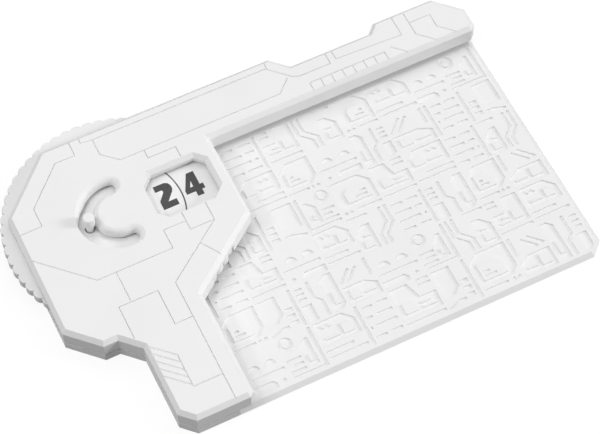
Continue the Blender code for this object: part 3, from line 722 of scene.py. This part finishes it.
def build_wheel(material):
    """The units wheel, ring by ring, with both edges of its rim rounded."""
    outlines = [(plain(radius), height) for radius, height in WHEEL_BORE_SIDE]
    for side, face in ((-1, NUMBER_FACE), (1, WHEEL_UNDERSIDE)):
        turns = [math.pi / 2 * step / ROUNDING_STEPS for step in range(ROUNDING_STEPS + 1)]
        if side > 0:
            turns.reverse()
        for turn in turns:
            shrink = RIM_ROUNDING * (1 - math.sin(turn))
            level = face + side * RIM_ROUNDING * (1 - math.cos(turn))
            outlines.append((bumped(WHEEL_TIP - shrink), level))
    outlines += [(plain(radius), height) for radius, height in WHEEL_GROOVE_SIDE]

    shape = bmesh.new()
    loops = []
    for outline, height in outlines:
        ring = bmesh.ops.create_circle(shape, radius=MM, segments=len(outline))["verts"]
        for vertex, (x, y) in zip(ring, outline):
            vertex.co = (x, y, height)
        loops.append(list(dict.fromkeys(edge for vertex in ring for edge in vertex.link_edges)))
    for index in range(len(loops)):
        bmesh.ops.bridge_loops(shape, edges=loops[index - 1] + loops[index])
    bmesh.ops.recalc_face_normals(shape, faces=shape.faces)
    item = piece("bumped_wheel", shape, material, "ones_wheel", TURNED_CREASE)
    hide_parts("ones_dial")


def build_screws(material):
    """The closing screws, with the cross recess that the driver takes."""
    for name in [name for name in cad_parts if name.startswith("closing_screw")]:
        low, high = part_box(name)
        middle = ((low[0] + high[0]) / 2, (low[1] + high[1]) / 2, low[2])
        new_name = name.replace("closing", "cross_recess")
        item = piece(new_name, merged_copy(name), material, "housing")
        for turn in CROSS_TURNS:
            bar = bmesh.new()
            bmesh.ops.create_cube(bar, size=2.0)
            size = Matrix.Diagonal((CROSS_REACH, CROSS_WIDTH / 2, CROSS_DEPTH, 1.0))
            place = Matrix.Translation(middle) @ Matrix.Rotation(turn, 4, "Z") @ size
            bmesh.ops.transform(bar, matrix=place, verts=bar.verts)
            cut_away(item, bar)
        round_off(item.data, TURNED_CREASE)
        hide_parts(name)


# Printed numerals, 7 mm tall, drawn round their own middle

NUMERALS = {
    "0": [
        box_outline(-2.1, -3.5, 2.1, 3.5, (0.9, 0.9, 0.9, 0.9)),
        box_outline(-0.5, -1.9, 0.5, 1.9),
    ],
    "1": [
        [
            (-0.35, -3.5),
            (1.4, -3.5),
            (1.4, 3.5),
            (-0.2, 3.5),
            (-1.6, 2.6),
            (-1.6, 1.1),
            (-0.35, 1.8),
        ]
    ],
    "2": [
        [
            (-2.0, 3.5),
            (0.9, 3.5),
            (1.75, 3.05),
            (2.15, 2.2),
            (2.15, 1.2),
            (1.8, 0.5),
            (-0.15, -1.75),
            (2.0, -1.75),
            (2.0, -3.5),
            (-2.0, -3.5),
            (-2.0, -1.25),
            (-1.8, -0.75),
            (-0.35, 0.95),
            (-0.15, 1.5),
            (-0.4, 1.85),
            (-2.0, 1.85),
        ]
    ],
    "3": [
        [
            (-2.0, 3.5),
            (1.2, 3.5),
            (2.1, 2.6),
            (2.1, 0.7),
            (1.5, 0.0),
            (2.1, -0.7),
            (2.1, -2.6),
            (1.2, -3.5),
            (-2.0, -3.5),
            (-2.0, -1.85),
            (0.2, -1.85),
            (0.45, -1.6),
            (0.45, -0.9),
            (0.2, -0.65),
            (-1.0, -0.65),
            (-1.0, 0.75),
            (0.2, 0.75),
            (0.45, 1.0),
            (0.45, 1.6),
            (0.2, 1.85),
            (-2.0, 1.85),
        ]
    ],
    "4": [
        [
            (-0.3, 3.5),
            (1.55, 3.5),
            (1.55, -0.55),
            (2.4, -0.55),
            (2.4, -2.05),
            (1.55, -2.05),
            (1.55, -3.5),
            (-0.1, -3.5),
            (-0.1, -2.05),
            (-2.4, -2.05),
            (-2.4, -0.95),
        ],
        [(-0.1, 1.25), (-0.1, -0.55), (-0.95, -0.55)],
    ],
    "5": [
        [
            (-2.0, 3.5),
            (2.0, 3.5),
            (2.0, 1.85),
            (-0.35, 1.85),
            (-0.35, 0.75),
            (1.2, 0.75),
            (2.1, -0.15),
            (2.1, -2.6),
            (1.2, -3.5),
            (-2.0, -3.5),
            (-2.0, -1.85),
            (0.2, -1.85),
            (0.45, -1.6),
            (0.45, -1.0),
            (0.2, -0.75),
            (-2.0, -0.75),
        ]
    ],
    "6": [
        [
            (-1.2, 3.5),
            (1.9, 3.5),
            (1.9, 1.85),
            (-0.2, 1.85),
            (-0.45, 1.6),
            (-0.45, 0.75),
            (1.2, 0.75),
            (2.1, -0.15),
            (2.1, -2.6),
            (1.2, -3.5),
            (-1.2, -3.5),
            (-2.1, -2.6),
            (-2.1, 2.6),
        ],
        box_outline(-0.45, -1.95, 0.45, -0.7),
    ],
    "7": [
        [
            (-2.0, 3.5),
            (2.1, 3.5),
            (2.1, 1.9),
            (0.5, -3.5),
            (-1.3, -3.5),
            (0.25, 1.85),
            (-2.0, 1.85),
        ]
    ],
    "8": [
        [
            (-1.2, 3.5),
            (1.2, 3.5),
            (2.1, 2.6),
            (2.1, 0.7),
            (1.5, 0.0),
            (2.1, -0.7),
            (2.1, -2.6),
            (1.2, -3.5),
            (-1.2, -3.5),
            (-2.1, -2.6),
            (-2.1, -0.7),
            (-1.5, 0.0),
            (-2.1, 0.7),
            (-2.1, 2.6),
        ],
        box_outline(-0.45, 0.75, 0.45, 1.95),
        box_outline(-0.45, -1.95, 0.45, -0.75),
    ],
    "9": [
        [
            (1.2, -3.5),
            (-1.9, -3.5),
            (-1.9, -1.85),
            (0.2, -1.85),
            (0.45, -1.6),
            (0.45, -0.75),
            (-1.2, -0.75),
            (-2.1, 0.15),
            (-2.1, 2.6),
            (-1.2, 3.5),
            (1.2, 3.5),
            (2.1, 2.6),
            (2.1, -2.6),
        ],
        box_outline(-0.45, 0.7, 0.45, 1.95),
    ],
}


def build_numerals(name, digits, shown, step, radius, body, material):
    """A ring of printed numerals; the one in the window stands upright."""
    whole = bmesh.new()
    for index, digit in enumerate(digits):
        angle = math.radians((index - shown) * step)
        place = (
            Matrix.Rotation(angle, 4, "Z")
            @ Matrix.Translation((radius, NUMERAL_SHIFT, NUMBER_FACE + INK_THICKNESS))
        )
        one = curve_shape(
            "numeral",
            [in_mm(outline) for outline in NUMERALS[digit]],
            True,
            place,
            dimensions="2D",
            fill_mode="BOTH",
            extrude=INK_THICKNESS,
        )
        mesh = bpy.data.meshes.new("numeral")
        one.to_mesh(mesh)
        one.free()
        whole.from_mesh(mesh)
        bpy.data.meshes.remove(mesh)
    item = piece(name, whole, material, body)


# Camera, floor and light


def build_camera():
    """The viewpoint of the photograph, from the front left and high up."""
    camera = bpy.data.cameras.new("camera")
    camera.sensor_width = SENSOR_WIDTH
    camera.lens = LENS
    camera.clip_start = 0.01
    camera.clip_end = 20
    item = bpy.data.objects.new("camera", camera)
    bpy.context.collection.objects.link(item)
    turn = math.radians(CAMERA_TURN)
    rise = math.radians(CAMERA_RISE)
    roll = math.radians(CAMERA_ROLL)
    back = Vector(
        (math.sin(turn) * math.cos(rise), -math.cos(turn) * math.cos(rise), math.sin(rise))
    )
    level = Vector((math.cos(turn), math.sin(turn), 0.0))
    upward = back.cross(level)
    right = math.cos(roll) * level + math.sin(roll) * upward
    up = math.cos(roll) * upward - math.sin(roll) * level
    place = Matrix((right, up, back)).transposed().to_4x4()
    place.translation = Vector(CAMERA_TARGET) + back * CAMERA_DISTANCE
    item.matrix_world = place
    bpy.context.scene.camera = item


def seen_directly(tree):
    """One where the camera, a reflection or a clear material looks straight at it."""
    path = add_node(tree, "ShaderNodeLightPath")
    both = add_node(
        tree,
        "ShaderNodeMath",
        {"operation": "ADD"},
        links={0: path.outputs["Is Camera Ray"], 1: path.outputs["Is Glossy Ray"]},
    )
    whole = add_node(
        tree,
        "ShaderNodeMath",
        {"operation": "ADD", "use_clamp": True},
        links={0: both.outputs["Value"], 1: path.outputs["Is Transmission Ray"]},
    )
    return whole.outputs["Value"]


def build_floor():
    """White sweep: the camera sees it white, with the object's soft shadow left on it."""
    shape = bmesh.new()
    bmesh.ops.create_grid(shape, x_segments=1, y_segments=1, size=FLOOR_HALF_WIDTH)
    bmesh.ops.translate(shape, vec=(0.0, 0.0, -FLOOR_DROP), verts=shape.verts)
    material = bpy.data.materials.new("white_sweep")
    material.use_nodes = True
    tree = material.node_tree
    shader = tree.nodes["Principled BSDF"]
    shader.inputs["Base Color"].default_value = FLOOR_BOUNCE
    shader.inputs["Roughness"].default_value = 0.9
    shader.inputs["Specular IOR Level"].default_value = 0.0
    glow = add_node(tree, "ShaderNodeEmission", values={"Strength": FLOOR_GLOW})
    shaded = add_node(tree, "ShaderNodeBsdfDiffuse", values={"Color": FLOOR_SHADE})
    seen = add_node(
        tree, "ShaderNodeAddShader", links={0: glow.outputs["Emission"], 1: shaded.outputs["BSDF"]}
    )
    mixed = add_node(
        tree,
        "ShaderNodeMixShader",
        links={0: seen_directly(tree), 1: shader.outputs["BSDF"], 2: seen.outputs["Shader"]},
    )
    tree.links.new(mixed.outputs["Shader"], tree.nodes["Material Output"].inputs["Surface"])
    item = piece("white_sweep", shape, material)


def build_world():
    """A weak white light from all round, and a white background."""
    world = bpy.data.worlds.new("studio")
    bpy.context.scene.world = world
    world.use_nodes = True
    tree = world.node_tree
    soft = tree.nodes["Background"]
    soft.inputs["Color"].default_value = WHITE
    soft.inputs["Strength"].default_value = AMBIENT
    shown = add_node(tree, "ShaderNodeBackground", values={"Color": WHITE, "Strength": 1.0})
    mixed = add_node(
        tree,
        "ShaderNodeMixShader",
        links={
            0: seen_directly(tree),
            1: soft.outputs["Background"],
            2: shown.outputs["Background"],
        },
    )
    tree.links.new(mixed.outputs["Shader"], tree.nodes["World Output"].inputs["Surface"])


def add_sun(name, towards, rise, strength, softness):
    """A distant lamp: the direction it stands in, from above, and its height in degrees."""
    lamp = bpy.data.lights.new(name, "SUN")
    lamp.energy = strength
    lamp.angle = math.radians(softness)
    item = bpy.data.objects.new(name, lamp)
    bpy.context.collection.objects.link(item)
    turn = math.radians(towards)
    height = math.radians(rise)
    direction = Vector(
        (math.cos(turn) * math.cos(height), math.sin(turn) * math.cos(height), math.sin(height))
    )
    item.rotation_euler = direction.to_track_quat("Z", "Y").to_euler()


def build_lights():
    """Key from the right and fill from the left, each in two heights, and two soft ones above."""
    add_sun("low_key", -26.0, 16.0, 0.35, 12.0)
    add_sun("high_key", -26.0, 25.0, 0.96, 12.0)
    add_sun("left_top", 171.0, 66.0, 0.52, 12.0)
    add_sun("left_side", 171.0, 46.0, 0.46, 12.0)
    add_sun("back_top", 70.0, 60.0, 0.38, 30.0)
    add_sun("right_top", 10.0, 50.0, 0.28, 25.0)


white_abs = moulded_abs("white_moulded_abs", ("EFEFEF", "F2F2F2"), 0.5)
ink = pad_print_ink()
acetal = moulded_acetal()
spring_steel = drawn_steel("drawn_spring_steel", ("A8AAAC", "C4C6C8"), (1.0, 8.0, 1.0), 0.32)
zinc = drawn_steel("zinc_plated_steel", ("B4B6B2", "D2D3CE"), (1.0, 1.0, 6.0), 0.38)

finishes = {
    "top_cover": white_abs,
    "base_plate": white_abs,
    "ones_dial": white_abs,
    "tens_dial": white_abs,
    "tens_peg": white_abs,
    "lower_washer": acetal,
    "middle_washer": acetal,
    "axle_pin": spring_steel,
    "ones_click_spring": spring_steel,
    "tens_brake_spring": spring_steel,
}
for node_name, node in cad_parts.items():
    node.data.materials.clear()
    node.data.materials.append(finishes.get(node_name, zinc))

build_cover(white_abs)
build_pad(white_abs)
build_wheel(white_abs)
build_screws(zinc)
build_numerals(
    "ones_numerals",
    "0123456789",
    ONES_SHOWN,
    ONES_STEP,
    ONES_NUMERAL_RADIUS,
    "ones_wheel",
    ink,
)
build_numerals(
    "tens_numerals",
    "01234",
    TENS_SHOWN,
    TENS_STEP,
    TENS_NUMERAL_RADIUS,
    "tens_disc",
    ink,
)

build_camera()
build_floor()
build_world()
build_lights()

scene = bpy.context.scene
scene.view_settings.view_transform = "Standard"
